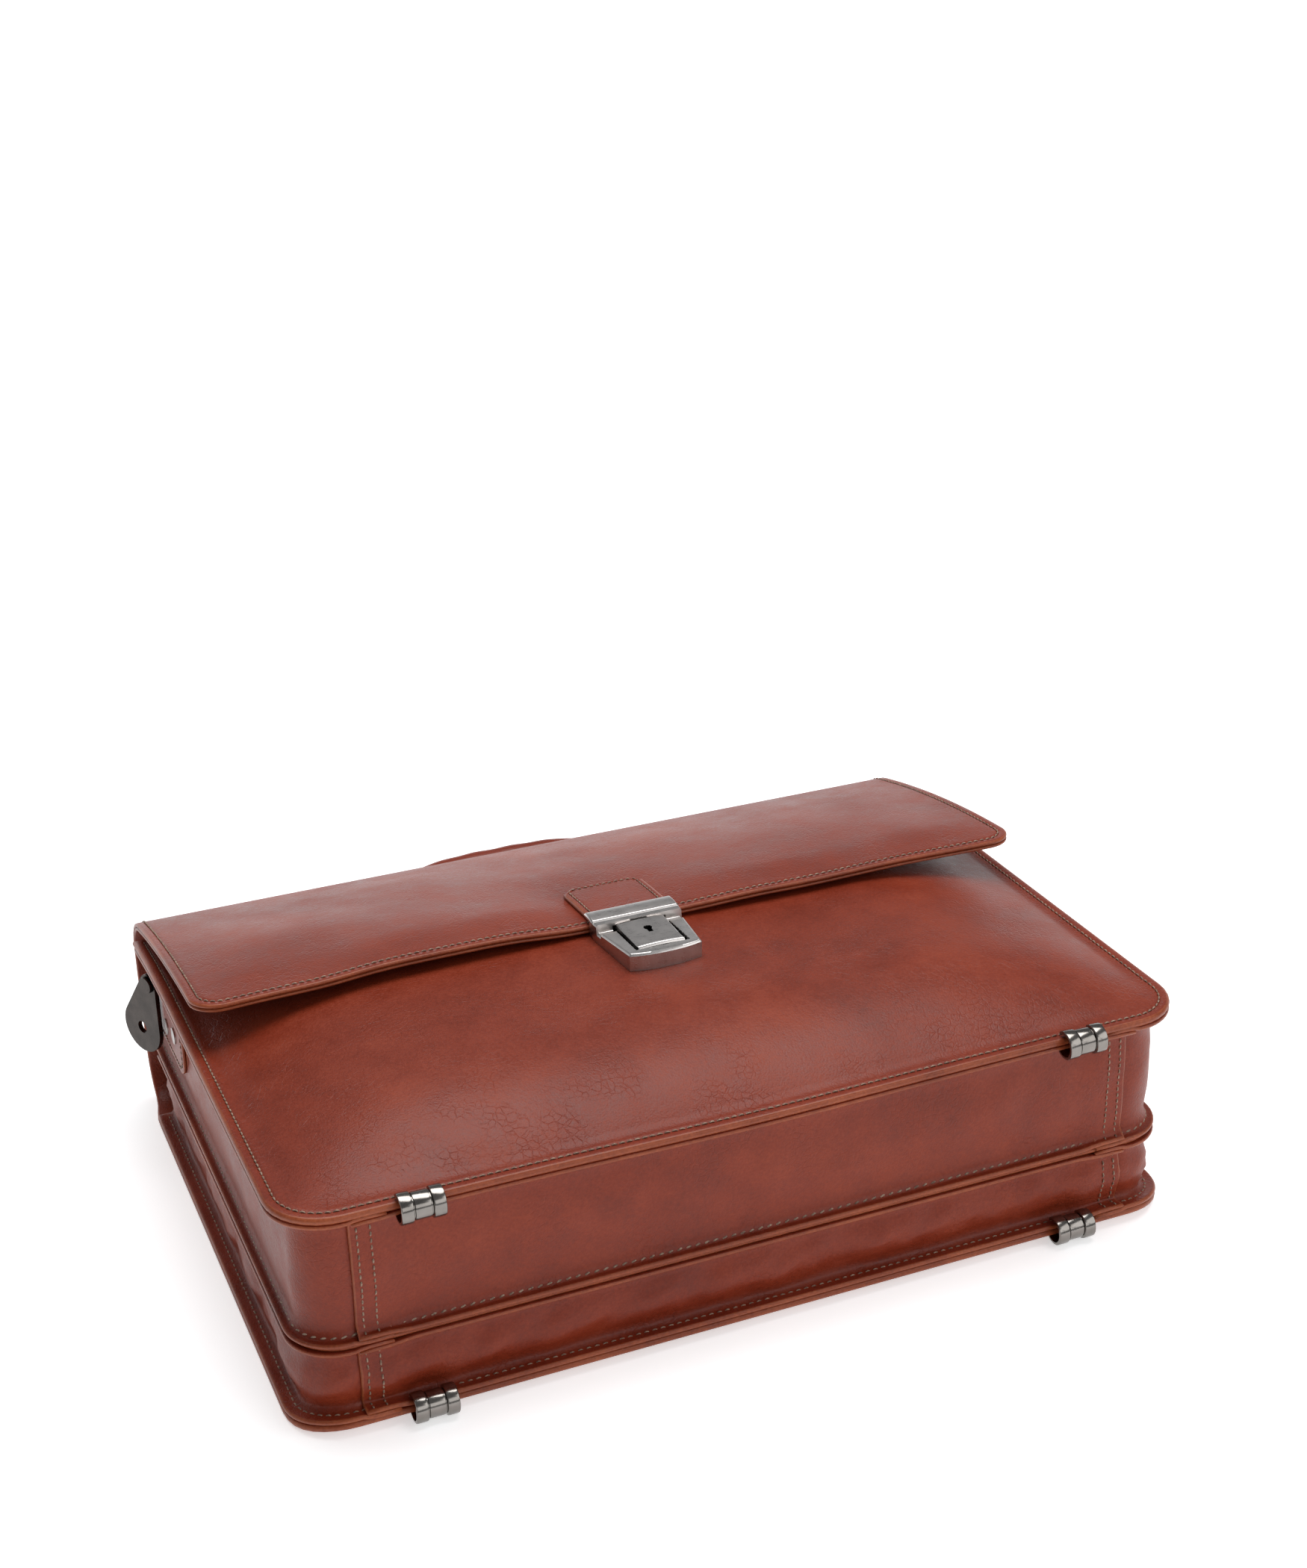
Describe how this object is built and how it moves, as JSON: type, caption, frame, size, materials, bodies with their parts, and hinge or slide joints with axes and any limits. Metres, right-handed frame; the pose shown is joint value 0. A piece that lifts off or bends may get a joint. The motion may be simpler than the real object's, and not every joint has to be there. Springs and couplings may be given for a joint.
{
  "type": "leather briefcase",
  "caption": "Two-compartment leather briefcase lying on its back, with a folding front flap, press lock, swinging handle, side strap lugs and metal seam clips.",
  "frame": {"origin": "centre of the footprint on the surface the briefcase lies on, back panel down", "axes": "+X across the bag to its right side as seen from the front, +Y from the bottom seam to the handle, +Z from the back panel out through the flap and lock"},
  "size_m": [0.4182, 0.3428, 0.1269],
  "materials": {
    "leather": "glossy smooth cognac leather with a fine grain",
    "inner_leather": "matt brown leather",
    "lining": "woven brown lining",
    "satin_metal": "satin nickel",
    "gunmetal": "polished gunmetal",
    "zip_tape": "woven tape",
    "thread": "waxed sewing thread"
  },
  "bodies": {
    "root": {"back_panel": "leather", "rear_gusset_left": "leather", "rear_gusset_bottom": "leather", "rear_gusset_right": "leather", "front_gusset_left": "leather", "front_gusset_bottom": "leather", "front_gusset_right": "leather", "front_panel": "leather", "lug_chape_left": "leather", "lug_chape_right": "leather", "divider_panel": "inner_leather", "slip_pocket": "inner_leather", "pen_loops": "inner_leather", "back_lining": "lining", "front_lining": "lining", "zip_pocket": "lining", "lock_body": "satin_metal", "lock_base_plate": "satin_metal", "lock_screws": "satin_metal", "lug_stud_left": "satin_metal", "lug_stud_right": "satin_metal", "chape_rivets_left": "satin_metal", "chape_rivets_right": "satin_metal", "clip_front_left": "gunmetal", "clip_front_right": "gunmetal", "clip_rear_left": "gunmetal", "clip_rear_right": "gunmetal", "zip_tape": "zip_tape"},
    "flap_top": {"top_strip": "leather", "top_stiffener": "inner_leather", "top_lining": "lining", "handle_bracket_left": "satin_metal", "handle_bracket_right": "satin_metal", "handle_pin_left": "gunmetal", "handle_pin_right": "gunmetal", "handle_rivets": "satin_metal"},
    "flap_front": {"flap_panel": "leather", "flap_lining": "lining", "lock_tab": "leather", "lock_cap": "satin_metal", "lock_tongue": "gunmetal"},
    "handle": {"handle_eye_left": "satin_metal", "handle_eye_right": "satin_metal", "handle_grip": "leather"},
    "lug_left": {"strap_lug_left": "gunmetal"},
    "lug_right": {"strap_lug_right": "gunmetal"},
    "lock_press": {"press_plate": "satin_metal"},
    "lock_latch": {"latch_bolt": "gunmetal"},
    "lock_key": {"key_cylinder": "gunmetal"},
    "zip_runner": {"zip_slider": "satin_metal"},
    "zip_pull": {"zip_puller": "satin_metal"}
  },
  "joints": [
    {"name": "top_fold", "type": "hinge", "parent": "root", "child": "flap_top", "pos_m": [0, 0.1187, 0.0069], "axis": [-1, 0, 0], "range_deg": [0, 50]},
    {"name": "flap_fold", "type": "hinge", "parent": "flap_top", "child": "flap_front", "pos_m": [0, 0.12085, 0.09595], "axis": [-1, 0, 0], "range_deg": [0, 140]},
    {"name": "handle_swing", "type": "hinge", "parent": "flap_top", "child": "handle", "pos_m": [0, 0.1321, 0.052], "axis": [1, 0, 0], "range_deg": [-97, 48]},
    {"name": "lug_swing_left", "type": "hinge", "parent": "root", "child": "lug_left", "pos_m": [-0.199, 0.0786, 0.084], "axis": [0.891, 0.454, 0], "range_deg": [0, 70]},
    {"name": "lug_swing_right", "type": "hinge", "parent": "root", "child": "lug_right", "pos_m": [0.199, 0.0786, 0.084], "axis": [0.891, -0.454, 0], "range_deg": [0, 70]},
    {"name": "lock_press", "type": "slide", "parent": "root", "child": "lock_press", "axis": [0, 0, -1], "range_m": [0, 0.0012], "stiffness_N_per_m": 800, "springref_m": -0.001},
    {"name": "latch_slide", "type": "slide", "parent": "root", "child": "lock_latch", "axis": [0, -1, 0], "range_m": [0, 0.0012]},
    {"name": "key_turn", "type": "hinge", "parent": "root", "child": "lock_key", "pos_m": [0, -0.0409, 0.12], "axis": [0, 0, 1], "range_deg": [0, 90]},
    {"name": "zip_travel", "type": "slide", "parent": "root", "child": "zip_runner", "axis": [1, 0, 0], "range_m": [0, 0.21]},
    {"name": "zip_pull_swing", "type": "hinge", "parent": "zip_runner", "child": "zip_pull", "pos_m": [-0.105, 0.0406, 0.0099], "axis": [-1, 0, 0], "range_deg": [0, 150]}
  ],
  "couplings": [
    {"joint": "latch_slide", "follows": "lock_press", "ratio": 1}
  ]
}
